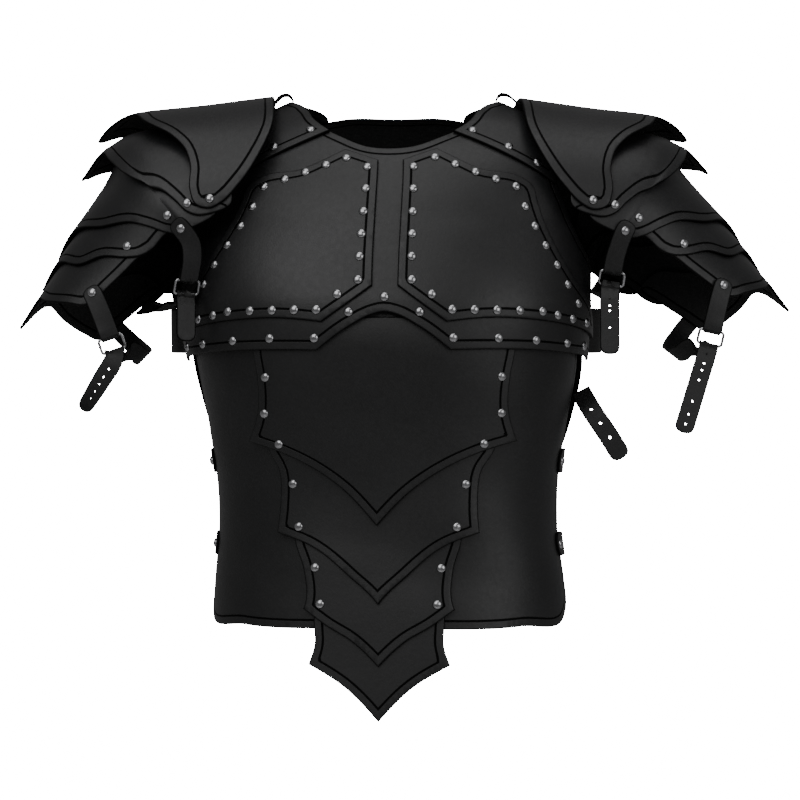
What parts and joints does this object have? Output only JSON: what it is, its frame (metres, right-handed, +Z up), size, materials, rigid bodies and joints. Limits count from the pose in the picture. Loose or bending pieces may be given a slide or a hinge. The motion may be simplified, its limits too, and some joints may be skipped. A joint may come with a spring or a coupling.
{
  "type": "leather chest armour",
  "caption": "Black leather body armour: studded breastplate over stepped belly lames, back panel, and two lamed shoulder guards with buckled arm straps, in its worn form.",
  "frame": {"origin": "midway between the tops of the two shoulder yokes, where the armour rests on the wearer's shoulders", "axes": "+Z up, +X towards the wearer's left, -Y towards the wearer's front"},
  "size_m": [0.7691, 0.2751, 0.6138],
  "materials": {
    "black_leather": "dyed black, smooth, semi-matte, tooled border grooves, burnished edges; the fused domed studs are bright nickel",
    "strap_leather": "dyed black strap leather, matte, burnished edges, punched holes",
    "nickel": "dark nickel plate, semi-bright, worn brighter on the bar"
  },
  "bodies": {
    "root": {"belly_panel": "black_leather", "back_panel": "black_leather", "belly_lame_1": "black_leather", "belly_lame_2": "black_leather", "belly_lame_3": "black_leather", "belly_lame_4": "black_leather", "breastplate": "black_leather", "chest_panel_left": "black_leather", "chest_panel_right": "black_leather", "shoulder_yoke_left": "black_leather", "shoulder_yoke_right": "black_leather", "guard_left_crown": "black_leather", "guard_left_second": "black_leather", "guard_left_third": "black_leather", "guard_left_fourth": "black_leather", "guard_left_fifth": "black_leather", "guard_right_crown": "black_leather", "guard_right_second": "black_leather", "guard_right_third": "black_leather", "guard_right_fourth": "black_leather", "guard_right_fifth": "black_leather", "arm_strap_left_upper": "strap_leather", "arm_strap_left_lower": "strap_leather", "arm_strap_right_upper": "strap_leather", "arm_strap_right_lower": "strap_leather", "arm_tail_left_upper": "strap_leather", "arm_tail_left_lower": "strap_leather", "arm_tail_right_upper": "strap_leather", "arm_tail_right_lower": "strap_leather", "waist_strap_left_upper": "strap_leather", "waist_strap_left_lower": "strap_leather", "waist_strap_right_upper": "strap_leather", "waist_strap_right_lower": "strap_leather", "chest_strap_left": "strap_leather", "chest_strap_right": "strap_leather", "side_tail_left": "strap_leather", "neck_loop_left": "strap_leather", "neck_loop_right": "strap_leather", "arm_buckle_left_upper": "nickel", "arm_buckle_left_lower": "nickel", "arm_buckle_right_upper": "nickel", "arm_buckle_right_lower": "nickel"}
  },
  "joints": []
}
